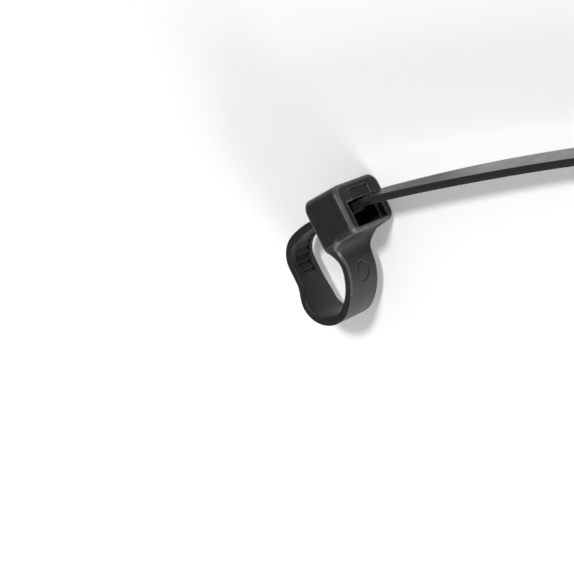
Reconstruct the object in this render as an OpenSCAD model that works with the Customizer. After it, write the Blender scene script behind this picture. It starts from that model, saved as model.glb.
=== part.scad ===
// A self-locking cable tie in one moulding, closed in a loose oval loop,
// lying on its side. The loop's axis is Z, and the tail runs out along +X.
// The origin is the centre of the bend that a cable sits in.

/* [Strap] */
// Length of the tie laid flat, from the top of the head to the tip
tie_length = 120; // [100:1:200]
// Thickness of the strap
strap_t = 0.9; // [0.7:0.05:1.2]
// Width of the smooth strap next to the head
neck_w = 6; // [5.2:0.1:7]
// Width of the toothed strap
strap_w = 4.7; // [4.2:0.1:5]
// How far each side of the strap draws in from its parting line
side_draft = 0.05; // [0:0.01:0.1]
// Chamfer along the edges of the outer face
edge_chamfer = 0.08; // [0.02:0.01:0.15]

/* [Teeth] */
// Distance from one tooth to the next
tooth_pitch = 1; // [0.8:0.05:1.4]
// Height of a tooth
tooth_h = 0.28; // [0.2:0.01:0.32]
// Flat land on the crest of a tooth
tooth_land = 0.15; // [0.05:0.01:0.25]
// Width of the groove that holds the teeth
groove_w = 3.1; // [2.6:0.1:3.3]
// Depth of the groove in the inner face
groove_depth = 0.34; // [0.3:0.01:0.4]

/* [Head] */
// Width of the head along the loop's axis
head_w = 9.2; // [8.6:0.1:11]
// Depth of the head along the channel
head_d = 5; // [4.8:0.1:6.5]
// Height of the head's front face
head_h = 5.9; // [5.6:0.1:7]
// How much lower the underside is where it meets the neck
underside_drop = 0.45; // [0.2:0.05:0.8]
// Radius of the fillet between the underside and the neck
neck_fillet_r = 1.5; // [1:0.1:2]
// Radius of the concave flare from the neck out to the head's sides
flare_r = 3; // [2:0.1:4]
// Radius of the two top corners seen from the front
top_corner_r = 1.5; // [0.6:0.1:1.8]
// Radius of the long edge at the top of the back face
back_edge_r = 0.8; // [0.3:0.1:1.2]
// Radius of the edges round the front face
front_edge_r = 0.35; // [0.15:0.05:0.5]

/* [Window and channel] */
// Width of the window in the front face
window_w = 6.6; // [6.2:0.1:7.4]
// Distance from the top of the head down to the window
window_top = 2.3; // [2.1:0.1:2.6]
// Height of the window
window_h = 3.1; // [2.8:0.1:3.3]
// Depth of the window's frame, down to the ledge behind it
ledge_depth = 0.7; // [0.4:0.1:1]
// Room for the strap on each side in the channel
side_clearance = 0.45; // [0.35:0.05:0.6]
// Room for the strap above and below in the channel
strap_clearance = 0.1; // [0.06:0.01:0.12]
// Lead-in chamfer round the entry in the back face
entry_chamfer = 0.3; // [0.1:0.05:0.4]
// Width of the shallow panel above the window
panel_w = 4; // [2:0.1:5]
// Height of the shallow panel
panel_h = 1.15; // [0.6:0.05:1.2]
// Depth of the shallow panel
panel_depth = 0.15; // [0.05:0.05:0.3]

/* [Pawl] */
// Width of the pawl
pawl_w = 3.5; // [3:0.1:4]
// Thickness of the wall that the pawl hangs from
hinge_wall = 1; // [0.8:0.1:1.2]
// Thickness of the pawl at its root
pawl_root_t = 0.6; // [0.4:0.05:0.8]
// Thickness of the pawl at its free end
pawl_end_t = 0.45; // [0.3:0.05:0.6]
// Depth of the pocket behind the pawl, below the strap
pocket_depth = 2.3; // [1.6:0.05:2.35]
// Gap between the pawl's teeth and the strap's teeth
pawl_gap = 0.05; // [0.03:0.01:0.08]

/* [Loop] */
// Depth of the strap's outer face below the head's top, where it enters the head
entry_depth = 2.05; // [1.9:0.05:2.2]
// Radius of the long bend below the head, at the middle of the strap
neck_bend_r = 6.9; // [6:0.1:9]
// Inner radius of the tight bends round the cables
seat_r = 2.6; // [2.2:0.1:3]
// Radius of the slow bend behind the head, at the middle of the strap
back_bend_r = 10.6; // [9:0.1:13]
// Diameter of the round ejector mark on the neck
mark_d = 2.3; // [1.5:0.1:2.6]
// Depth of the ejector mark
mark_depth = 0.07; // [0.03:0.01:0.12]
// Place of the ejector mark along the neck's bend, in degrees
mark_turn = 18; // [17:1:30]

/* [Tail] */
// Slope of the channel through the head, in degrees
channel_tilt = 5; // [3:0.5:6]
// Length of the straight stretch in the channel
channel_run = 2.6; // [2.4:0.1:2.8]
// Turn of the strap as it leaves the window, in degrees
exit_turn = 7.5; // [5:0.5:10]
// Radius of that turn
exit_r = 24; // [18:1:30]
// Twist that the strap takes as it leaves the window, in degrees
tail_twist = 4.5; // [0:0.5:6]
// Radius of the tail's long curl
curl_r = 270; // [200:5:400]
// How far the strap lies to one side in the channel
side_play = 0.3; // [0:0.05:0.35]
// Length of the smooth tapered tip
tip_len = 9; // [6:0.5:12]
// Width of the strap at its tip
tip_w = 2.4; // [1.5:0.1:3]

/* [Hidden] */
nylon = [0.1, 0.1, 0.105];
$fn = 96;
overlap = 0.5;
facet = 0.8;
flare_step = 0.02;
pawl_teeth = 3;
nose_stops = 24;
tip_plain = 0.3;
panel_rise = 0.12;
half_t = strap_t / 2;
groove_floor = -half_t + groove_depth;
tooth_tip = groove_floor - tooth_h;
under_y = -head_h - underside_drop;
corner_angle = 90 + atan(underside_drop / (head_d - strap_t));
fillet_reach = neck_fillet_r / tan(corner_angle / 2);
bend_y = round((under_y - fillet_reach) * 100) / 100;
neck_bend_turn = atan(4 / 3);
back_bend_turn = atan(7 / 24);
entry_y = -entry_depth - half_t;
seat_mid_r = seat_r + half_t;

// Centres of the loop's four bends, in the head's own frame
neck_c = [half_t - neck_bend_r, bend_y];
seat_c = neck_c + (neck_bend_r - seat_mid_r) * [cos(neck_bend_turn), -sin(neck_bend_turn)];
slow_c_y = entry_y - back_bend_r;
back_c = [seat_c[0], slow_c_y + (back_bend_r - seat_mid_r) * cos(back_bend_turn)];
slow_c = [back_c[0] + (back_bend_r - seat_mid_r) * sin(back_bend_turn), slow_c_y];

// The flare ends where its circle has come in to the neck
flare_c = [neck_w / 2 + flare_step + flare_r, under_y - sqrt(pow(flare_r, 2) - pow(neck_w / 2 + flare_step + flare_r - head_w / 2, 2))];
flare_turn = asin((bend_y - flare_c[1]) / neck_bend_r);

// Stretches of the toothed strap, up the loop's back and then through the head to the tip
taper_len = 3;
entry_bend_r = 20;
entry_bend_start = 0.3;
back_stretches = [[0, back_c[1] - seat_c[1] - taper_len], [seat_mid_r, 90 - back_bend_turn],
                  [back_bend_r, back_bend_turn], [0, entry_bend_start - slow_c[0]]];
back_len = path_len(back_stretches);
tail_len = tie_length + bend_y - taper_len - back_len
    - (neck_bend_turn * neck_bend_r + (180 - neck_bend_turn) * seat_mid_r) * PI / 180;
tail_stretches = [[entry_bend_r, channel_tilt], [0, channel_run], [exit_r, exit_turn], [curl_r, 90]];

// Straights have radius 0 and a length; bends have a radius and a turn in degrees
function run_len(r, size) = r == 0 ? size : r * size * PI / 180;
// Point at distance s along a stretch and height n from the strap's middle
function at(r, s, n) = r == 0 ? [s, n]
    : [(r + n) * sin(s / r * 180 / PI), -r + (r + n) * cos(s / r * 180 / PI)];

function turned(p, a) = [p[0] * cos(a) + p[1] * sin(a), p[1] * cos(a) - p[0] * sin(a)];

// The same for a list of stretches, one after the other
function path_len(path) = len(path) == 0 ? 0
    : run_len(path[0][0], path[0][1]) + path_len(rest(path));
function rest(path) = [for (i = [1 : 1 : len(path) - 1]) path[i]];
function turn_of(path) = path[0][0] == 0 ? 0 : path[0][1];
function path_at(path, s, n) =
    let (r = path[0][0], length = run_len(r, path[0][1]))
    len(path) == 1 || s <= length ? at(r, s, n)
    : at(r, length, 0) + turned(path_at(rest(path), s - length, n), turn_of(path));
function path_turn(path, s) =
    let (r = path[0][0], length = run_len(r, path[0][1]))
    len(path) == 1 || s <= length ? (r == 0 ? 0 : s / r * 180 / PI)
    : turn_of(path) + path_turn(rest(path), s - length);

// Carries a section, drawn as (outwards, along the loop's axis), round a bend
module bend(r, size) {
    rotate_extrude(angle = size, $fn = max($fn, 2 * PI * r / facet)) translate([r, 0]) children();
}

// Plain section with drafted sides and chamfered outer edges
module plain_section(w) {
    side = w / 2;
    face = side - side_draft;
    polygon([
        [half_t, face - edge_chamfer], [half_t - edge_chamfer, face], [0, side], [-half_t, face],
        [-half_t, -face], [0, -side], [half_t - edge_chamfer, -face], [half_t, edge_chamfer - face]
    ]);
}

// Toothed strap along a path: a rail along each edge, and between them a web with saw teeth
// on the inner side. Each tooth has its steep side towards the start. Past the last tooth the
// strap is plain.
module toothed_strap(path, toothed_len, plain_len, stops) {
    count = round(toothed_len / tooth_pitch);
    step = toothed_len / count;
    fine = step / stops;
    last = count * stops + ceil(plain_len / fine);
    rail_w = (strap_w - groove_w) / 2;
    outer = [for (i = [0 : last]) path_at(path, i * fine, half_t)];
    inner = [for (i = [last : -1 : 0]) path_at(path, i * fine, -half_t)];
    teeth = concat([for (i = [last : -1 : plain_len > 0 ? count * stops : last + 1]) path_at(path, i * fine, -half_t)],
        [path_at(path, toothed_len, groove_floor)], [for (i = [count - 1 : -1 : 0]) each [
            path_at(path, i * step + tooth_land, tooth_tip), path_at(path, i * step, tooth_tip),
            path_at(path, i * step, groove_floor)
        ]]);
    linear_extrude(groove_w, center = true) polygon(concat(outer, teeth));
    for (side = [-1, 1]) translate([0, 0, side * (groove_w + rail_w) / 2])
        linear_extrude(rail_w, center = true) polygon(concat(outer, inner));
}

// The strap narrows from the smooth neck to the toothed part
module taper() {
    rotate([90, 0, 0]) linear_extrude(strap_t, center = true) polygon([
        [0, neck_w / 2], [taper_len, strap_w / 2 - side_play],
        [taper_len, -strap_w / 2 - side_play], [0, -neck_w / 2]
    ]);
}

// Waste round the tapered tip, whose nose is round
module tip_waste() {
    nose = tip_w / 2;
    slope = (strap_w / 2 - nose) / (tip_len - nose - tip_plain);
    wide = strap_w / 2 + slope * (tip_plain + 2 * overlap);
    round_end = [for (i = [0 : nose_stops]) [
        tip_len - nose + nose * sin(180 * i / nose_stops), nose * cos(180 * i / nose_stops)
    ]];
    rotate([90, 0, 0]) linear_extrude(strap_w, center = true) difference() {
        translate([-overlap, -strap_w]) square([tip_len + strap_w, 2 * strap_w]);
        polygon(concat([[-2 * overlap, wide]], round_end, [[-2 * overlap, -wide]]));
    }
}

// The strap from the flare to the end of the bend that a cable sits in
module smooth_strap() {
    translate(neck_c) rotate(-neck_bend_turn)
        bend(neck_bend_r, neck_bend_turn - flare_turn / 2) plain_section(neck_w);
    translate(seat_c) {
        rotate(-neck_bend_turn) mirror([0, 1, 0]) bend(seat_mid_r, 90 - neck_bend_turn) plain_section(neck_w);
        rotate(180) bend(seat_mid_r, 90) plain_section(neck_w);
    }
}

// The strap from its taper, up the loop's back and into the head
module upper_strap() {
    translate([seat_c[0] - seat_mid_r, seat_c[1]]) rotate(90) {
        taper();
        translate([taper_len, 0, -side_play]) toothed_strap(back_stretches, back_len, 0, 5);
    }
}

// Frame of the strap inside the head, where it takes its twist
module in_channel() {
    translate([entry_bend_start, entry_y, -side_play]) rotate([tail_twist, 0, 0]) children();
}

module tail() {
    toothed_len = tail_len - tip_len;
    difference() {
        toothed_strap(tail_stretches, toothed_len, tip_len, 1);
        translate(path_at(tail_stretches, toothed_len, 0)) rotate(-path_turn(tail_stretches, toothed_len)) tip_waste();
    }
}

// Waste of a square corner outside a radius, with the corner at the origin
module corner_waste(r) {
    difference() {
        translate([-r, -r]) square(r + overlap);
        translate([-r, -r]) circle(r);
    }
}

// Side profile of the head, with the fillet into the neck
module head_profile() {
    along = (head_d - strap_t) / cos(corner_angle - 90);
    foot = [strap_t, under_y];
    reach = foot + fillet_reach / along * [head_d - strap_t, underside_drop];
    difference() {
        polygon([[0, 0], [head_d, 0], [head_d, -head_h], foot, [strap_t, bend_y], [0, bend_y]]);
        translate([head_d, 0]) corner_waste(front_edge_r);
        mirror([1, 0]) corner_waste(back_edge_r);
    }
    difference() {
        polygon([foot, reach, [strap_t, bend_y]]);
        translate([strap_t + neck_fillet_r, bend_y]) circle(neck_fillet_r);
    }
}

// Front outline of the head and the flare, drawn as (along the axis, up)
module head_outline() {
    difference() {
        translate([-head_w / 2, flare_c[1] - overlap]) square([head_w, overlap - flare_c[1]]);
        for (side = [0, 1]) mirror([side, 0]) {
            translate([head_w / 2, 0]) corner_waste(top_corner_r);
            translate(flare_c) circle(flare_r);
            translate([neck_w / 2, flare_c[1] - 2 * overlap]) square([head_w, 2 * overlap]);
        }
    }
}

// Plan of the head, drawn as (along the channel, along the axis)
module head_plan() {
    difference() {
        translate([0, -head_w / 2]) square([head_d, head_w]);
        for (side = [0, 1]) mirror([0, side]) translate([head_d, head_w / 2]) corner_waste(front_edge_r);
    }
}

// Carries a front outline from one depth to another
module across_front(from, to) {
    translate([to, 0, 0]) rotate([0, -90, 0]) linear_extrude(to - from) children();
}

module head_blank() {
    intersection() {
        linear_extrude(head_w + 2 * overlap, center = true) head_profile();
        across_front(-overlap, head_d + overlap) head_outline();
        translate([0, overlap, 0]) rotate([90, 0, 0]) linear_extrude(overlap - flare_c[1] + overlap) head_plan();
    }
}

// Wide start of the neck's bend, cut to the flare
module flare() {
    intersection() {
        translate(neck_c) mirror([0, 1, 0]) bend(neck_bend_r, flare_turn)
            translate([-half_t, -head_w / 2]) square([strap_t, head_w]);
        across_front(-head_d, head_d) head_outline();
    }
}

// Everything that is hollow in the head
module head_hollows() {
    channel_w = strap_w + 2 * side_clearance;
    room = half_t + strap_clearance;
    pocket_end = head_d - ledge_depth;
    slope_start = entry_bend_start + entry_bend_r * tan(channel_tilt / 2);
    slope_y = entry_y + room - (pocket_end + overlap - slope_start) * tan(channel_tilt);
    floor_y = entry_y - room - pocket_depth;
    // The channel, level at the entry and then sloped, and the pocket that the pawl springs into
    linear_extrude(channel_w, center = true) polygon([
        [-overlap, entry_y + room], [slope_start, entry_y + room], [pocket_end + overlap, slope_y],
        [pocket_end + overlap, floor_y], [hinge_wall, floor_y],
        [hinge_wall, entry_y - room], [-overlap, entry_y - room]
    ]);
    // The window in front of the ledge
    translate([pocket_end, -window_top - window_h, -window_w / 2])
        cube([ledge_depth + overlap, window_h, window_w]);
    // The lead-in at the entry
    rotate([90, 0, 0]) translate([0, 0, -entry_y - room]) linear_extrude(2 * room) polygon([
        [-overlap, channel_w / 2 + entry_chamfer + overlap], [entry_chamfer, channel_w / 2],
        [entry_chamfer, -channel_w / 2], [-overlap, -channel_w / 2 - entry_chamfer - overlap]
    ]);
    // The shallow panel above the window
    translate([head_d - panel_depth, -window_top + panel_rise, -panel_w / 2])
        cube([panel_depth + overlap, panel_h, panel_w]);
}

// The pawl hangs from the wall under the entry and points to the window. Its teeth
// stand in the gaps between the strap's teeth.
module pawl() {
    step = (tail_len - tip_len) / round((tail_len - tip_len) / tooth_pitch);
    top = -half_t - strap_clearance;
    root = hinge_wall - entry_bend_start;
    end = pawl_teeth * step + tooth_land;
    in_channel() {
        translate([0, 0, side_play]) linear_extrude(pawl_w, center = true) polygon(concat(
            [for (i = [0 : pawl_teeth]) along(root - overlap + (end - root + overlap) * i / pawl_teeth, top)],
            [along(end, top - pawl_end_t), along(root, top - pawl_root_t), along(root - overlap, top - pawl_root_t)]
        ));
        linear_extrude(groove_w - 4 * pawl_gap, center = true) for (i = [2 : pawl_teeth]) polygon([
            along((i - 1) * step + tooth_land + pawl_gap, top - pawl_end_t / 2),
            along((i - 1) * step + tooth_land + pawl_gap, tooth_tip - pawl_gap),
            along(i * step - pawl_gap, groove_floor - pawl_gap),
            along(i * step - pawl_gap, top - pawl_end_t / 2)
        ]);
    }
}
function along(s, n) = path_at(tail_stretches, s, n);

// Round mark sunk in the outer face of the neck
module ejector_mark() {
    outer_r = neck_bend_r + half_t;
    translate(neck_c) rotate(-mark_turn) intersection() {
        rotate([0, 90, 0]) cylinder(h = outer_r + overlap, d = mark_d);
        difference() {
            cylinder(h = mark_d + overlap, r = outer_r + overlap, center = true);
            cylinder(h = mark_d + 2 * overlap, r = outer_r - mark_depth, center = true);
        }
    }
}

module cable_tie() {
    color(nylon) translate(-seat_c) {
        difference() {
            head_blank();
            head_hollows();
        }
        pawl();
        difference() {
            union() {
                flare();
                smooth_strap();
                upper_strap();
                in_channel() tail();
            }
            ejector_mark();
        }
    }
}

cable_tie();
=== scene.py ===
"""Looks of a black nylon cable tie, closed round an empty loop and lying on its side."""

import functools
import math

import bpy
import numpy as np
from bpy.props import FloatProperty, FloatVectorProperty, PointerProperty
from bpy.types import Operator, Panel, PropertyGroup
from mathutils import Matrix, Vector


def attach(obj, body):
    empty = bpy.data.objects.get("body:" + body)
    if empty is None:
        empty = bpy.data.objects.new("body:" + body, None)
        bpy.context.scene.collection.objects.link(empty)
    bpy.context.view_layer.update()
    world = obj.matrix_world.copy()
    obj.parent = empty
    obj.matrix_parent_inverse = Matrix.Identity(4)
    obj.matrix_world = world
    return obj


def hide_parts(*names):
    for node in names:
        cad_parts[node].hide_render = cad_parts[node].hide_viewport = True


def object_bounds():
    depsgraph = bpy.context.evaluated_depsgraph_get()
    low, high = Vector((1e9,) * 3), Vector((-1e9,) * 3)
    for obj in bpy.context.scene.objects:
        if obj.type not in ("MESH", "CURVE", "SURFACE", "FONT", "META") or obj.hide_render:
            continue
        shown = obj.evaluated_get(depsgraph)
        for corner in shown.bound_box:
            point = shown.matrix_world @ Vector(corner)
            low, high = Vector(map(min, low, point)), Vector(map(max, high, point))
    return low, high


bl_info = {
    "name": "Cable tie dressing",
    "version": (2, 0, 0),
    "blender": (4, 5, 0),
    "location": "View3D > Sidebar > Cable Tie",
    "description": "Moulds a detailed nylon cable tie over a packed one and sets up its studio",
    "category": "Add Mesh",
}

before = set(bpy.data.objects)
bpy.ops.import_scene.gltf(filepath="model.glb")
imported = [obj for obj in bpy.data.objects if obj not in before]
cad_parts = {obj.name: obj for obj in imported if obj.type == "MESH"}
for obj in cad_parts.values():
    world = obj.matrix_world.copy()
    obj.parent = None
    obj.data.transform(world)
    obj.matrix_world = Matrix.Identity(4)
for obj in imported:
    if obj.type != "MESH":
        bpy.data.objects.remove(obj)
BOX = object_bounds()
MM = 0.001

# The tie's main sizes in millimetres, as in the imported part. Shapes are worked out in the head's own
# frame: x along the channel to the front, y up from the top of the head, z along the loop's axis.
HEAD_W, HEAD_D, HEAD_H = 9.2, 5.0, 5.9
UNDERSIDE_DROP = 0.45
STRAP_T, NECK_W, STRAP_W = 0.9, 6.0, 4.7
HALF_T = STRAP_T / 2
NECK_FILLET, FLARE_R = 1.5, 3.0
NECK_C, NECK_R = (-6.45, -7.69), 6.9
NECK_TURN, BACK_TURN = math.atan(4 / 3), math.atan(7 / 24)
SEAT_C, SEAT_R = (-4.14, -10.77), 3.05
BACK_RISE, SLOW_R, LAST_RUN = 4.918, 10.6, 2.326
TAPER_LEN, SIDE_PLAY = 3.0, 0.3
ENTRY = (0.3, -2.5)
CHANNEL_TILT, CHANNEL_BEND, CHANNEL_RUN = math.radians(5), 20.0, 2.6
EXIT_TURN, EXIT_R, CURL_R = math.radians(7.5), 24.0, 270.0
TWIST, TAIL_TWIST, TAIL_TWIST_RUN = math.radians(4.5), math.radians(3.5), 18.0
TAIL_LEN, TIP_LEN, TIP_W, TIP_PLAIN = 84.98, 9.0, 2.4, 0.3
GROOVE_W, GROOVE_DEPTH, TOOTH_H, TOOTH_LAND = 3.1, 0.34, 0.28, 0.15
WINDOW_W, WINDOW_TOP, WINDOW_H, LEDGE = 6.6, 2.3, 3.1, 0.7
CHANNEL_W, ROOM, HINGE, POCKET = 5.6, 0.55, 1.0, 2.3
PANEL_W, PANEL_LOW, PANEL_HIGH, PANEL_DEPTH = 4.0, -2.18, -1.03, 0.15
PAWL_W, PAWL_ROOT, PAWL_END = 3.5, 0.6, 0.45
PAWL_REACH, PAWL_OVERLAP, PAWL_EDGE, PAWL_TEETH = 3.15, 0.5, 0.1, (2, 3)
TOOTH_PITCH, TOOTH_GAP, TOOTH_LIFT, TOOTH_SINK, TOOTH_SIDE_GAP = 1.0, 0.05, 0.11, 0.15, 0.1

# The shallow round mark on the neck: its place and radius, and its depth, of which the dish inside takes
# one share and the narrow ring round it another
MARK_TURN, MARK_R, MARK_DEPTH = math.radians(18), 1.15, 0.07
MARK_DISH, MARK_RING, MARK_RING_W = 0.6, 1.6, 0.1

# Roundings inside the head: rim of the hollows, hinge, channel, lead-in, window, ledge, panel and pawl
RIM, HINGE_EDGE, CHANNEL_CORNER, LEAD_IN = 0.09, 0.12, 0.1, 0.3
MOUTH_CORNER, LEDGE_FILLET, PANEL_CORNER, PAWL_FILLET = 0.15, 0.06, 0.08, 0.1

# Turns of the neck where the strap's surface starts, the head's skin sinks into it and the head's ends
STRAP_FROM, SKIN_FADE, HEAD_TO = math.radians(30), (math.radians(28), math.radians(44)), math.radians(45)
# Places in the head's frame between which the sides' draft, the flare's soft edge, the back edges, the
# back top edge and the lower corners come in
DRAFT_FADE, SOFT_FADE, BACK_FADE, TOP_FADE = (-7, -9), (-9.6, -7.6), (-7.6, -5.4), (-1.6, -0.4)
LOW_FADE, SOFT_EDGE = (0.9, 3.0), 0.35
# Opposite corners of the box in which the head's surface is worked out
HEAD_BOX = (-2.2, -13.05, -4.8), (5.15, 0.15, 4.8)

# Draft of the strap's sides, ridge along their parting line, and how far the head's skin stands over
# the strap's where they meet
DRAFT, PARTING_RIDGE, SEAM = 0.05, 0.012, 0.012

# Stretches of the strap from the head's foot to the tip: radius (0 is straight), then length
STRETCHES = (
    (NECK_R, NECK_R * NECK_TURN), (SEAT_R, SEAT_R * (math.pi - NECK_TURN)),
    (0, BACK_RISE), (SEAT_R, SEAT_R * (math.pi / 2 - BACK_TURN)), (SLOW_R, SLOW_R * BACK_TURN),
    (0, LAST_RUN), (CHANNEL_BEND, CHANNEL_BEND * CHANNEL_TILT), (0, CHANNEL_RUN),
    (EXIT_R, EXIT_R * EXIT_TURN), (CURL_R, CURL_R * math.pi / 2),
)
LOOP_LEN = sum(length for _, length in STRETCHES[:6])
SMOOTH_LEN = sum(length for _, length in STRETCHES[:2])
TOOTHED_START = SMOOTH_LEN + TAPER_LEN
TOOTHED_END = LOOP_LEN + TAIL_LEN - TIP_LEN


# Gloss of the nylon on the head and on the drawn tail, and the length in millimetres over which it changes
GLOSS, TAIL_GLOSS, DRAWN_RUN = 0.32, 0.42, 1.5
# How tight a rounding is, in the field's terms, where the paler edges start and where they are full: partly
# rubbed wear, partly a painted highlight
WEAR_HIGHLIGHT_BEND, WEAR_HIGHLIGHT_REACH = (0.7, 2.0), 0.22
# In metres: the spot in front of the head where the floor is dimmed in reflections only, a painted shade that
# darkens the head's front and neck, and the radii where this starts to fade and where it ends
DIM_SPOT, DIM_R = (0.0125, 0.006), (0.004, 0.012)
# Lamps: name, spread in degrees and the direction that they shine from
SUNS = (("key", 9, (0.1, 0.1, 0.3)), ("fill", 28, (0.09, -0.28, 0.04)))
# The camera's place in metres, and its right, up and back directions
CAMERA_PLACE = (0.11832, -0.00412, 0.16398)
CAMERA_AXES = (0.7038, -0.4427, -0.5556), (0.3719, 0.896, -0.2428), (0.6053, -0.0358, 0.7952)


class TieShape(PropertyGroup):
    """Roundings of the moulding, and the fineness of the head's mesh."""

    top_corner: FloatProperty(
        name="Top corners", description="Radius of the head's top corners seen from the front",
        unit="LENGTH", min=0, max=2 * MM, default=1.35 * MM, precision=5,
    )
    low_corner: FloatProperty(
        name="Lower corners", description="Radius of the lower corners of the head's front",
        unit="LENGTH", min=0, max=2 * MM, default=1.1 * MM, precision=5,
    )
    flare_corner: FloatProperty(
        name="Flare corners", description="Radius between the head's sides and the flare",
        unit="LENGTH", min=0, max=2 * MM, default=0.45 * MM, precision=5,
    )
    front_edge: FloatProperty(
        name="Front edges", description="Radius of the edges round the head's front face",
        unit="LENGTH", min=0, max=MM, default=0.48 * MM, precision=5,
    )
    back_edge: FloatProperty(
        name="Back edges", description="Radius of the upright edges of the head's back face",
        unit="LENGTH", min=0, max=MM, default=0.15 * MM, precision=5,
    )
    back_top: FloatProperty(
        name="Back top edge", description="Radius of the long edge at the top of the head's back face",
        unit="LENGTH", min=0, max=MM, default=0.35 * MM, precision=5,
    )
    strap_edge: FloatProperty(
        name="Strap edges", description="Radius of the strap's long edges",
        unit="LENGTH", min=0, max=0.3 * MM, default=0.12 * MM, precision=5,
    )
    fineness: FloatProperty(
        name="Fineness", description="Distance between the head's mesh points",
        unit="LENGTH", min=0.05 * MM, max=0.3 * MM, default=0.075 * MM, precision=5,
    )


class TieFinish(PropertyGroup):
    """Finish of the moulded nylon."""

    colour: FloatVectorProperty(
        name="Nylon", description="Colour of the moulded nylon", subtype="COLOR",
        size=3, min=0, max=1, default=(0.008, 0.008, 0.009),
    )
    # Colour that the head's rounded edges are lifted towards: partly rubbed wear, partly a painted highlight
    burnish_and_highlight: FloatVectorProperty(
        name="Burnished edges", description="Colour of the rubbed edges of the head", subtype="COLOR",
        size=3, min=0, max=1, default=(0.1, 0.1, 0.102),
    )
    head_roughness: FloatProperty(
        name="Head roughness", description="Roughness of the textured head", subtype="FACTOR",
        min=0.1, max=0.9, default=0.38,
    )
    strap_roughness: FloatProperty(
        name="Strap roughness", description="Roughness of the smoother strap", subtype="FACTOR",
        min=0.1, max=0.9, default=0.22,
    )
    grain: FloatProperty(
        name="Grain", description="Strength of the fine moulded grain", subtype="FACTOR",
        min=0, max=1, default=0.6,
    )


class TieStudio(PropertyGroup):
    """Floor, light and camera."""

    floor: FloatVectorProperty(
        name="Floor", description="Colour of the floor", subtype="COLOR",
        size=3, min=0, max=1, default=(0.96, 0.96, 0.96),
    )
    # Level of the painted shade that the tie mirrors from the floor in front of its head
    reflected_shade: FloatProperty(
        name="Mirrored floor", description="How light the tie mirrors the floor in front of its head",
        subtype="FACTOR", min=0, max=1, default=0.4,
    )
    key: FloatProperty(
        name="Key light", description="Strength of the light from above",
        min=0, max=10, default=1.7,
    )
    fill: FloatProperty(
        name="Fill light", description="Strength of the low soft light in front of the neck",
        min=0, max=20, default=4.2,
    )
    surroundings: FloatProperty(
        name="Surroundings", description="Brightness of the white surroundings",
        min=0, max=5, default=0.42,
    )
    lens: FloatProperty(
        name="Lens", description="Focal length of the camera in millimetres",
        min=20, max=300, default=106.78,
    )


def new_material(name):
    """A material whose nodes are cleared, with its node tree and output."""
    material = bpy.data.materials.new(name)
    material.use_nodes = True
    tree = material.node_tree
    tree.nodes.clear()
    return material, tree, tree.nodes.new("ShaderNodeOutputMaterial")


def add_node(tree, kind, values=(), **settings):
    """A node with its settings, and its inputs set or linked by name or number."""
    node = tree.nodes.new(kind)
    for key, value in settings.items():
        setattr(node, key, value)
    for key, value in dict(values).items():
        if isinstance(value, bpy.types.NodeSocket):
            tree.links.new(value, node.inputs[key])
        else:
            node.inputs[key].default_value = value
    return node


def ramp(tree, value, low, high, at_low, at_high, **settings):
    """A value that goes from at_low where the given one is low to at_high where it is high."""
    return add_node(tree, "ShaderNodeMapRange", {
        "Value": value, "From Min": low, "From Max": high, "To Min": at_low, "To Max": at_high,
    }, **settings).outputs["Result"]


def nylon_material(name, finish, tail_roughness, worn_and_highlit):
    """Satin black nylon with a fine grain, a faint waviness, slow flow marks and a faint mottle. Past the head's
    front the drawn strap is smoother and glossier.
    On the head's material the rounded edges are paler, partly rubbed wear and partly a painted highlight."""
    material, tree, output = new_material(name)
    place = add_node(tree, "ShaderNodeTexCoord").outputs["Object"]
    grain = add_node(tree, "ShaderNodeTexNoise", {"Vector": place, "Scale": 7000.0, "Detail": 3.0})
    flow = add_node(tree, "ShaderNodeTexNoise", {
        "Vector": place, "Scale": 420.0, "Detail": 4.0, "Roughness": 0.6,
    })
    out = (HEAD_D - SEAT_C[0]) * MM
    along = add_node(tree, "ShaderNodeSeparateXYZ", {"Vector": place}).outputs["X"]
    start = out - DRAWN_RUN * MM
    base = ramp(tree, along, start, out, finish.head_roughness, tail_roughness)
    gloss = ramp(tree, along, start, out, GLOSS, GLOSS if worn_and_highlit else TAIL_GLOSS)
    marks = ramp(tree, flow.outputs["Fac"], 0.3, 0.7, -0.05, 0.07)
    rough = add_node(tree, "ShaderNodeMath", {0: base, 1: marks}, operation="ADD")
    mottle = add_node(tree, "ShaderNodeTexNoise", {"Vector": place, "Scale": 3200.0, "Detail": 2.0})
    paler = ramp(tree, mottle.outputs["Fac"], 0.35, 0.7, 0.0, 0.06)
    # The head's rounded edges are lifted paler: partly rubbed wear, partly a painted highlight
    if worn_and_highlit:
        highlit_edges = add_node(tree, "ShaderNodeAttribute", attribute_name="wear").outputs["Fac"]
        paler = add_node(
            tree, "ShaderNodeMath", {0: highlit_edges, 1: flow.outputs["Fac"], 2: paler}, operation="MULTIPLY_ADD",
        ).outputs["Value"]
    colour = add_node(tree, "ShaderNodeMix", {
        "Factor": paler, 6: (*finish.colour, 1), 7: (*finish.burnish_and_highlight, 1),
    }, data_type="RGBA")
    wave = add_node(tree, "ShaderNodeTexNoise", {"Vector": place, "Scale": 1100.0, "Detail": 1.0})
    wavy = add_node(tree, "ShaderNodeBump", {
        "Strength": finish.grain, "Distance": 0.02 * MM, "Height": wave.outputs["Fac"],
    })
    bump = add_node(tree, "ShaderNodeBump", {
        "Strength": finish.grain, "Distance": 0.008 * MM, "Height": grain.outputs["Fac"],
        "Normal": wavy.outputs["Normal"],
    })
    surface = add_node(tree, "ShaderNodeBsdfPrincipled", {
        "Base Color": colour.outputs[2], "Roughness": rough.outputs["Value"],
        "Specular IOR Level": gloss, "Normal": bump.outputs["Normal"],
    })
    tree.links.new(surface.outputs["BSDF"], output.inputs["Surface"])
    return material


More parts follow.
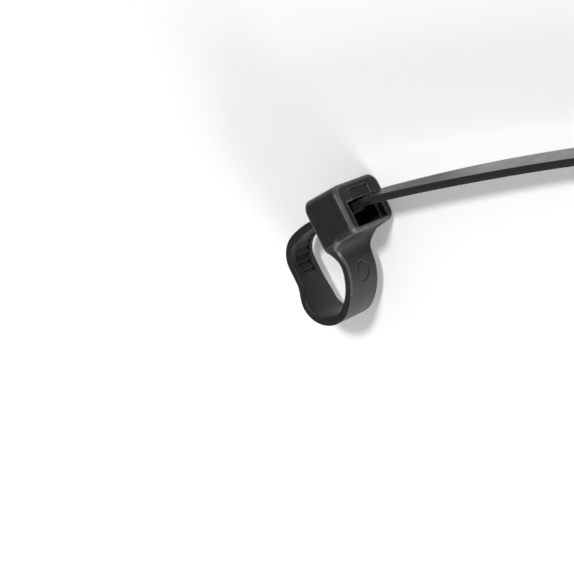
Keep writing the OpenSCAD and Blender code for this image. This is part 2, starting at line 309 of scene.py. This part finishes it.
def new_piece(name, points, faces, material):
    """A smooth mesh piece from points in millimetres in the head's frame, moved to the part's frame."""
    points = (points - (*SEAT_C, 0)) * MM
    mesh = bpy.data.meshes.new(name)
    mesh.from_pydata(points.tolist(), [], faces)
    mesh.polygons.foreach_set("use_smooth", np.ones(len(mesh.polygons), bool))
    mesh.materials.append(material)
    mesh.validate()
    piece = bpy.data.objects.new(name, mesh)
    bpy.context.collection.objects.link(piece)
    return piece


# The strap

def along_path(s):
    """Points and headings at distances s along the strap: each stretch is a line, or an arc that turns
    clockwise about a centre on its right, and starts where the one before it ends."""
    place, heading, start = np.array([HALF_T, NECK_C[1]]), -math.pi / 2, 0.0
    points, turns = np.empty(np.shape(s) + (2,)), np.empty(np.shape(s))
    for r, length in STRETCHES:
        here = (s >= start) if start else np.ones(np.shape(s), bool)
        run = s[here] - start
        ahead = np.array([math.cos(heading), math.sin(heading)])
        right = np.array([ahead[1], -ahead[0]])
        if r:
            angle = run / r
            points[here] = place + r * (np.sin(angle)[:, None] * ahead + (1 - np.cos(angle))[:, None] * right)
            turns[here] = heading - angle
            place = place + r * (math.sin(length / r) * ahead + (1 - math.cos(length / r)) * right)
            heading -= length / r
        else:
            points[here] = place + run[:, None] * ahead
            turns[here] = heading
            place = place + length * ahead
        start += length
    return points, turns


def ease(a, b, x):
    """Smooth step from 0 at a to 1 at b: 3t^2 - 2t^3."""
    t = np.clip((x - a) / (b - a), 0, 1)
    return t * t * (3 - 2 * t)


def tooth_rows():
    """Start, end, number of teeth and pitch of the toothed stretches, in the loop and past it."""
    for start, end in ((TOOTHED_START, LOOP_LEN), (LOOP_LEN, TOOTHED_END)):
        count = round((end - start) / TOOTH_PITCH)
        yield start, end, count, (end - start) / count


def tooth_height(s):
    """Height of the saw teeth over the groove's floor: a flat land after each steep side, then a ramp
    down to the next one."""
    height = np.zeros(np.shape(s))
    for start, end, _, step in tooth_rows():
        here = (s >= start) & (s < end)
        phase = (s[here] - start) % step
        height[here] = TOOTH_H * np.clip((step - phase) / (step - TOOTH_LAND), 0, 1)
    return height


def strap_stations():
    """Distances of the strap's rings: even on plain stretches, and crowded round each tooth."""
    stations = [
        np.arange(NECK_R * STRAP_FROM, SMOOTH_LEN, 0.16),
        np.linspace(SMOOTH_LEN, TOOTHED_START - 0.015, 16),
        np.linspace(TOOTHED_END + 0.015, LOOP_LEN + TAIL_LEN - TIP_W / 2, 24),
    ]
    for start, _, count, step in tooth_rows():
        offsets = np.array([
            0.012, 0.06, TOOTH_LAND - 0.02, TOOTH_LAND + 0.03, 0.4, 0.7, step - 0.05, step - 0.012,
        ])
        stations.append((start + step * np.arange(count)[:, None] + offsets).ravel())
    return np.unique(np.concatenate(stations))


def strap_surface(edge):
    """The strap, a section carried along the path. Each section point has a height over the strap's
    middle, an inset and a share of the half width. Its place across is share x half width - inset. Round
    the nose, ring by ring, both are turned in by an angle: distance + (r - inset) sin, across x cos. Points
    within the flat faces reach as far as those where the rounded edge starts."""
    s = strap_stations()
    nose = TIP_W / 2
    taper_start, nose_start = LOOP_LEN + TAIL_LEN - TIP_LEN + TIP_PLAIN, LOOP_LEN + TAIL_LEN - nose
    width = (NECK_W + (STRAP_W - NECK_W) * ease(SMOOTH_LEN, TOOTHED_START, s)) / 2
    width += (nose - STRAP_W / 2) * np.clip((s - taper_start) / (nose_start - taper_start), 0, 1)
    spokes = np.radians([8, 17, 27, 37, 47, 56, 64, 72, 79, 84.5, 88.5])
    spoke = np.concatenate([np.zeros(len(s)), spokes])[:, None]
    s = np.concatenate([s, np.full(len(spokes), nose_start)])[:, None]
    width = np.concatenate([width, np.full(len(spokes), nose)])[:, None]

    in_groove = (s > TOOTHED_START) & (s < TOOTHED_END)
    floor = np.where(in_groove, GROOVE_DEPTH - tooth_height(s), 0) - HALF_T
    # From the middle of the outer face to the middle of the inner one: height, inset, share of the half
    # width, and 1 on the groove's floor or 0.5 half way down its wall. On plain stretches the groove's
    # points lie flat in the face, a little apart.
    share, quarter = GROOVE_W / STRAP_W, np.radians([0, 22.5, 45, 67.5, 90])
    flat = DRAFT + 1.5 * edge
    half = [(HALF_T, 0, 0, 0), (HALF_T, 0, 0.5, 0), (HALF_T, flat, 1, 0)]
    half += [(HALF_T - edge + edge * math.cos(a), DRAFT + edge - edge * math.sin(a), 1, 0) for a in quarter]
    half += [(HALF_T - 1.5 * edge, 0.6 * DRAFT, 1, 0), (0.05, 0, 1, 0), (0, -PARTING_RIDGE, 1, 0),
             (-0.05, 0, 1, 0), (1.5 * edge - HALF_T, 0.6 * DRAFT, 1, 0)]
    half += [(edge - HALF_T - edge * math.sin(a), DRAFT + edge - edge * math.cos(a), 1, 0) for a in quarter]
    half += [(-HALF_T, flat, 1, 0), (-HALF_T, 0, share + 0.035, 0), (-HALF_T, 0, share + 0.012, 0),
             (-HALF_T, 0, share, 0.5), (-HALF_T, 0, share, 1), (-HALF_T, 0, share - 0.02, 1),
             (-HALF_T, 0, 0, 1)]
    section = np.array(half + half[-2:0:-1])
    sign = np.where(np.arange(len(section)) < len(half), 1.0, -1.0)

    height = section[:, 0] + section[:, 3] * (floor + HALF_T)
    spread = np.where(in_groove, 0, 0.012 * section[:, 3] * (section[:, 2] == share))
    across = sign * ((section[:, 2] - spread) * width - section[:, 1]) * np.cos(spoke)
    inset = np.where(section[:, 2] < 1, flat, section[:, 1])
    reach = s + (nose - inset) * np.sin(spoke)
    points = place_on_strap(reach.ravel(), height.ravel(), across.ravel())

    rings, count = height.shape
    ring, point = np.meshgrid(np.arange(rings - 1), np.arange(count), indexing="ij")
    after = (point + 1) % count
    faces = np.stack([ring * count + point, (ring + 1) * count + point,
                      (ring + 1) * count + after, ring * count + after], -1).reshape(-1, 4).tolist()
    left, last = (-np.arange(len(half))) % count, (rings - 1) * count
    for j in range(len(half) - 1):
        cap = list(dict.fromkeys([j, j + 1, int(left[j + 1]), int(left[j])]))
        faces.append(cap)
        faces.append([last + k for k in reversed(cap)])
    return points, faces


def place_on_strap(s, height, across):
    """Points of the strap: the path's point, plus height times the outward normal, plus across times the
    axis direction. Both directions turn by the twist inside the head, and past it the path's drop is
    tilted by the same angle."""
    path, heading = along_path(s)
    drift = -SIDE_PLAY * ease(SMOOTH_LEN, TOOTHED_START, s)
    out = LOOP_LEN + HEAD_D
    twist = TWIST * ease(LOOP_LEN - 0.5, LOOP_LEN + 1.5, s)
    twist += TAIL_TWIST * ease(out, out + TAIL_TWIST_RUN, s)
    drop = np.where(s > LOOP_LEN, path[:, 1] - ENTRY[1], 0)
    x = path[:, 0] - height * np.sin(heading)
    up = height * np.cos(heading)
    y = path[:, 1] + drop * (math.cos(TWIST) - 1) + up * np.cos(twist) - across * np.sin(twist)
    z = drift + drop * math.sin(TWIST) + up * np.sin(twist) + across * np.cos(twist)
    return np.stack([x, y, z], -1)


# The head

def rounded_cut(a, b, r):
    """Field of what lies in both shapes, with a rounding of radius r along their edge:
    the larger field, or near the edge the distance from the rounding's centre line less r."""
    return np.minimum(-r, np.maximum(a, b)) + np.hypot(np.maximum(r + a, 0), np.maximum(r + b, 0))


def rounded_join(a, b, r):
    """Field of what lies in either shape, with a fillet of radius r in their corner."""
    return -rounded_cut(-a, -b, r)


def from_mark(x, y, z):
    """Distance along the neck's round outer face from the middle of the shallow mark."""
    turn = np.arctan2(NECK_C[1] - y, x - NECK_C[0])
    return np.hypot((turn - MARK_TURN) * (NECK_R + HALF_T), z)


def head_field(shape, x, y, z):
    """Distance from the head's surface, below 0 inside. The outline seen from the front, the underside
    with its fillet into the neck, the front and the back are cut with one another, each pair with its own
    rounding, and then the hollows are cut out and the pawl joined on."""
    wide = np.abs(z)
    bent = y < NECK_C[1]
    ring = np.hypot(x - NECK_C[0], y - NECK_C[1])
    turn = np.where(bent, np.arctan2(NECK_C[1] - y, x - NECK_C[0]), 0)
    height = np.where(bent, ring - NECK_R, x - HALF_T)
    down = np.where(bent, NECK_C[1] - NECK_R * turn, y)
    swell = SEAM * (1 - 2 * ease(*SKIN_FADE, turn))

    flare_y = -HEAD_H - UNDERSIDE_DROP - math.sqrt(FLARE_R ** 2 - (NECK_W / 2 + FLARE_R - HEAD_W / 2) ** 2)
    curve = FLARE_R - np.hypot(wide - NECK_W / 2 - FLARE_R, down - flare_y)
    flare = np.where(down > flare_y, curve, wide - NECK_W / 2)
    outline = rounded_cut(wide - HEAD_W / 2, flare, shape.flare_corner / MM)
    outline = outline + (DRAFT * np.abs(height) / HALF_T - swell) * ease(*DRAFT_FADE, down)
    outline = rounded_cut(outline, y, shape.top_corner / MM)

    slope = math.atan(UNDERSIDE_DROP / (HEAD_D - STRAP_T))
    under = -(y + HEAD_H + (HEAD_D - x) * math.tan(slope)) * math.cos(slope)
    spot = from_mark(x, y, z)
    groove = np.exp(-((spot - MARK_R) / MARK_RING_W) ** 2)
    mark = MARK_DEPTH * (MARK_DISH - MARK_DISH * ease(MARK_R - 0.1, MARK_R + 0.05, spot) + MARK_RING * groove)
    body = rounded_join(under, height - HALF_T - swell + np.where(bent, mark, 0), NECK_FILLET)
    edge = shape.strap_edge / MM
    body = rounded_cut(body, outline, edge + (SOFT_EDGE - edge) * ease(*SOFT_FADE, down)
                       + (shape.low_corner / MM - SOFT_EDGE) * ease(*LOW_FADE, x))
    body = rounded_cut(body, x - HEAD_D, shape.front_edge / MM)
    body = rounded_cut(body, -height - HALF_T - swell,
                       edge + (shape.back_edge / MM - edge) * ease(*BACK_FADE, y)
                       + (shape.back_top - shape.back_edge) / MM * ease(*TOP_FADE, y))
    body = np.maximum(body, np.where(bent, (turn - HEAD_TO) * NECK_R, -1))
    body = rounded_cut(body, -hollow_field(x, y, wide), RIM)
    return rounded_join(body, pawl_field(x, y, z), PAWL_FILLET)


def hollow_field(x, y, wide):
    """The channel with its lead-in, the pocket, the window in front of its ledge, and the panel: each is
    the largest of the distances past its walls, and together they are the least of these."""
    slope_start = ENTRY[0] + CHANNEL_BEND * math.tan(CHANNEL_TILT / 2)
    ceiling = y - ENTRY[1] - ROOM + np.maximum(x - slope_start, 0) * math.tan(CHANNEL_TILT)
    low = ENTRY[1] - ROOM
    floor = np.minimum(low - y, rounded_cut(HINGE - x, low - POCKET - y, HINGE_EDGE))
    walls = wide - CHANNEL_W / 2 - np.maximum(LEAD_IN - x, 0)
    channel = rounded_cut(np.maximum(ceiling, floor), walls, CHANNEL_CORNER)
    channel = np.maximum(channel, x - HEAD_D + LEDGE - 0.3)
    mouth = rounded_cut(np.abs(y + WINDOW_TOP + WINDOW_H / 2) - WINDOW_H / 2, wide - WINDOW_W / 2, MOUTH_CORNER)
    window = np.maximum(mouth, HEAD_D - LEDGE - x)
    panel = rounded_cut(np.abs(y - (PANEL_LOW + PANEL_HIGH) / 2) - (PANEL_HIGH - PANEL_LOW) / 2,
                        wide - PANEL_W / 2, PANEL_CORNER)
    panel = np.maximum(panel, HEAD_D - PANEL_DEPTH - x)
    return np.minimum(rounded_join(channel, window, LEDGE_FILLET), panel)


def pawl_field(x, y, z):
    """The pawl under the strap, which bends down with it, and the teeth on its back. Heights are over the
    strap's middle: y + the path's drop, x^2 / 2r in the bend and then straight."""
    up, side = y - ENTRY[1], z + SIDE_PLAY
    up, side = up * math.cos(TWIST) + side * math.sin(TWIST), side * math.cos(TWIST) - up * math.sin(TWIST)
    run = x - ENTRY[0]
    bend = CHANNEL_BEND * math.sin(CHANNEL_TILT)
    up = up + np.where(run < bend, run ** 2 / (2 * CHANNEL_BEND), bend ** 2 / (2 * CHANNEL_BEND)
                       + (run - bend) * math.tan(CHANNEL_TILT))
    root = HINGE - ENTRY[0]
    thick = PAWL_ROOT + (PAWL_END - PAWL_ROOT) * np.clip((run - root) / (PAWL_REACH - root), 0, 1)
    pawl = rounded_cut(up + ROOM, -ROOM - thick - up, PAWL_EDGE)
    pawl = rounded_cut(pawl, run - PAWL_REACH, PAWL_EDGE)
    pawl = rounded_cut(pawl, np.abs(side - SIDE_PLAY) - PAWL_W / 2, PAWL_EDGE)
    pawl = np.maximum(pawl, root - PAWL_OVERLAP - run)
    for tooth in PAWL_TEETH:
        start = tooth - 1 + TOOTH_LAND + TOOTH_GAP
        slant = up + ROOM - TOOTH_LIFT - (run - start) * TOOTH_H / (1 - TOOTH_LAND)
        wedge = np.maximum(slant, run - tooth + TOOTH_GAP)
        wedge = np.maximum(wedge, np.maximum(-ROOM - TOOTH_SINK - up, start - run))
        pawl = np.minimum(pawl, np.maximum(wedge, np.abs(side) - GROOVE_W / 2 + TOOTH_SIDE_GAP))
    return pawl


def field_surface(field, low, high, step):
    """Points and faces of the surface where a field is 0. Each cell of a grid that the surface crosses
    gets the mean of the crossings on its edges, moved onto the surface along the field's slope, and each
    crossed grid line gets a face between the four cells round it."""
    axes = [np.arange(a, b + step, step) for a, b in zip(low, high)]
    value = field(*np.meshgrid(*axes, indexing="ij"))
    inside = value < 0
    shape = np.array(value.shape) - 1
    total, count = np.zeros((*shape, 3)), np.zeros(shape)
    crossings = []
    for axis in range(3):
        ends = [tuple(slice(k, n - 1 + k) if a == axis else slice(None) for a, n in enumerate(value.shape))
                for k in (0, 1)]
        crossed = inside[ends[0]] != inside[ends[1]]
        crossings.append((axis, crossed, inside[ends[0]]))
        part = np.where(crossed, value[ends[0]] / np.where(crossed, value[ends[0]] - value[ends[1]], 1), 0)
        others = [a for a in range(3) if a != axis]
        for i in (0, 1):
            for j in (0, 1):
                pick = [slice(None)] * 3
                pick[others[0]], pick[others[1]] = (slice(k, k + shape[a]) for k, a in zip((i, j), others))
                hit = crossed[tuple(pick)]
                count += hit
                total[..., axis] += hit * part[tuple(pick)]
                total[..., others[0]] += hit * i
                total[..., others[1]] += hit * j
    cells = np.nonzero(count)
    number = np.full(shape, -1)
    number[cells] = np.arange(len(cells[0]))
    points = (np.stack(cells, -1) + total[cells] / count[cells][:, None]) * step + low
    probe = 0.004
    for _ in range(4):
        here = field(*points.T)
        slope = np.stack([
            (field(*(points + d).T) - field(*(points - d).T)) / (2 * probe) for d in probe * np.eye(3)
        ], -1)
        points = points - slope * np.clip(here / np.maximum((slope ** 2).sum(-1), 0.3), -0.06, 0.06)[:, None]
    faces = []
    for axis, crossed, starts_inside in crossings:
        b, c = (axis + 1) % 3, (axis + 2) % 3
        at = np.stack(np.nonzero(crossed), -1)
        at = at[(at[:, b] > 0) & (at[:, c] > 0) & (at[:, b] < shape[b]) & (at[:, c] < shape[c])]
        corners = []
        for i, j in ((1, 1), (0, 1), (0, 0), (1, 0)):
            cell = at.copy()
            cell[:, b] -= i
            cell[:, c] -= j
            corners.append(number[tuple(cell.T)])
        corners = np.stack(corners, -1)
        outward = starts_inside[tuple(at.T)]
        faces.append(np.where(outward[:, None], corners, corners[:, ::-1]))
    return points, np.concatenate(faces).tolist()


def wear_and_highlight_on(points, field):
    """Paler edges, partly rubbed wear and partly a painted highlight, from 0 on flat and hollow places to 1 on
    rounded edges: the field's mean over six points round each one, less its own value, which is larger the
    tighter the rounding. The round mark's ring has none."""
    x, y, z = points.T
    around = sum(field(*(points + d).T) for d in WEAR_HIGHLIGHT_REACH * np.concatenate([np.eye(3), -np.eye(3)]))
    bend = (around - 6 * field(x, y, z)) / WEAR_HIGHLIGHT_REACH ** 2
    return ease(*WEAR_HIGHLIGHT_BEND, bend) * ease(MARK_R + 0.3, MARK_R + 0.6, from_mark(x, y, z))


class TIE_OT_head(Operator):
    """Moulds the head with its window, pawl and flare, and the upper part of the neck"""

    bl_idname = "tie.head"
    bl_label = "Head"

    def execute(self, context):
        shape, finish = context.scene.tie_shape, context.scene.tie_finish
        field = functools.partial(head_field, shape)
        points, faces = field_surface(field, *HEAD_BOX, shape.fineness / MM)
        material = nylon_material("satin_nylon", finish, finish.head_roughness, True)
        piece = new_piece("head", points, faces, material)
        # Paler rounded edges for the material: partly rubbed wear, partly a painted highlight
        wear = piece.data.attributes.new("wear", "FLOAT", "POINT")
        wear.data.foreach_set("value", wear_and_highlight_on(points, field))
        settle(piece)
        return {"FINISHED"}


class TIE_OT_strap(Operator):
    """Draws the strap along its path, with its rails, groove, saw teeth and tapered tip"""

    bl_idname = "tie.strap"
    bl_label = "Strap"

    def execute(self, context):
        shape, finish = context.scene.tie_shape, context.scene.tie_finish
        points, faces = strap_surface(shape.strap_edge / MM)
        material = nylon_material("smooth_nylon", finish, finish.strap_roughness, False)
        settle(new_piece("strap", points, faces, material))
        return {"FINISHED"}


def settle(piece):
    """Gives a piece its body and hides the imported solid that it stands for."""
    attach(piece, "root")
    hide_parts("cable_tie")


class TIE_OT_studio(Operator):
    """Sets up the pale floor, the soft lights and the camera that looks down on the tie"""

    bl_idname = "tie.studio"
    bl_label = "Studio"

    def execute(self, context):
        studio = context.scene.tie_studio
        scene = context.scene
        scene.view_settings.view_transform = "Standard"
        self.make_floor(studio)
        self.make_surroundings(scene, studio)
        self.make_lights(studio)
        self.make_camera(scene, studio)
        return {"FINISHED"}

    def make_floor(self, studio):
        low = BOX[0][2]
        mesh = bpy.data.meshes.new("floor")
        half = 3.0
        mesh.from_pydata(
            [(-half, -half, low), (half, -half, low), (half, half, low), (-half, half, low)],
            [], [(0, 1, 2, 3)],
        )
        floor = bpy.data.objects.new("floor", mesh)
        bpy.context.collection.objects.link(floor)
        material, tree, output = new_material("pale_floor")
        # Painted shade: seen only in reflections, the floor is darker in a spot in front of the head, which
        # darkens the head's front and neck
        path = add_node(tree, "ShaderNodeLightPath").outputs["Is Glossy Ray"]
        place = add_node(tree, "ShaderNodeTexCoord").outputs["Object"]
        away = add_node(tree, "ShaderNodeVectorMath", {0: place, 1: (*DIM_SPOT, low)}, operation="DISTANCE")
        near = ramp(tree, away.outputs["Value"], *DIM_R, 1.0, 0.0, interpolation_type="SMOOTHSTEP")
        dim = add_node(tree, "ShaderNodeMath", {0: path, 1: near}, operation="MULTIPLY")
        colour = add_node(tree, "ShaderNodeMix", {
            "Factor": dim.outputs["Value"], 6: (*studio.floor, 1), 7: (*[studio.reflected_shade] * 3, 1),
        }, data_type="RGBA")
        surface = add_node(tree, "ShaderNodeBsdfPrincipled", {"Base Color": colour.outputs[2], "Roughness": 0.75})
        tree.links.new(surface.outputs["BSDF"], output.inputs["Surface"])
        mesh.materials.append(material)

    def make_surroundings(self, scene, studio):
        world = bpy.data.worlds.new("surroundings")
        world.use_nodes = True
        tree = world.node_tree
        tree.nodes.clear()
        path = add_node(tree, "ShaderNodeLightPath").outputs["Is Camera Ray"]
        strength = add_node(tree, "ShaderNodeMix", {
            "Factor": path, "A": studio.surroundings, "B": 1.0,
        }, data_type="FLOAT")
        light = add_node(tree, "ShaderNodeBackground", {
            "Color": (1, 1, 1, 1), "Strength": strength.outputs[0],
        })
        add_node(tree, "ShaderNodeOutputWorld", {"Surface": light.outputs["Background"]})
        scene.world = world

    def make_lights(self, studio):
        for name, spread, place in SUNS:
            light = bpy.data.lights.new(name, "SUN")
            light.energy, light.angle = getattr(studio, name), math.radians(spread)
            lamp = bpy.data.objects.new(name, light)
            back = np.array(place) / np.linalg.norm(place)
            lamp.matrix_world = Matrix.Translation(place) @ looking(back)
            bpy.context.collection.objects.link(lamp)

    def make_camera(self, scene, studio):
        lens = bpy.data.cameras.new("camera")
        lens.lens, lens.sensor_width = studio.lens, 36.0
        lens.clip_start, lens.clip_end = 0.01, 10
        camera = bpy.data.objects.new("camera", lens)
        camera.matrix_world = Matrix.Translation(CAMERA_PLACE) @ Matrix(CAMERA_AXES).transposed().to_4x4()
        bpy.context.collection.objects.link(camera)
        scene.camera = camera


def looking(back):
    """Rotation of a lamp that shines along -back."""
    side = np.cross((0, 1, 0), back)
    side /= np.linalg.norm(side)
    return Matrix((side, np.cross(back, side), back)).transposed().to_4x4()


class TIE_PT_panel(Panel):
    """Lists the steps and their settings"""

    bl_label = "Cable Tie"
    bl_space_type = "VIEW_3D"
    bl_region_type = "UI"
    bl_category = "Cable Tie"

    def draw(self, context):
        for step in STEPS:
            self.layout.operator(step.bl_idname)
        for group in (context.scene.tie_shape, context.scene.tie_finish, context.scene.tie_studio):
            for name in group.__annotations__:
                self.layout.prop(group, name)


STEPS = (TIE_OT_head, TIE_OT_strap, TIE_OT_studio)
CLASSES = (TieShape, TieFinish, TieStudio, *STEPS, TIE_PT_panel)


def register():
    for cls in CLASSES:
        bpy.utils.register_class(cls)
    bpy.types.Scene.tie_shape = PointerProperty(type=TieShape)
    bpy.types.Scene.tie_finish = PointerProperty(type=TieFinish)
    bpy.types.Scene.tie_studio = PointerProperty(type=TieStudio)


def unregister():
    del bpy.types.Scene.tie_studio
    del bpy.types.Scene.tie_finish
    del bpy.types.Scene.tie_shape
    for cls in reversed(CLASSES):
        bpy.utils.unregister_class(cls)


def main():
    register()
    bpy.ops.tie.head()
    bpy.ops.tie.strap()
    bpy.ops.tie.studio()


if __name__ == "__main__":
    main()
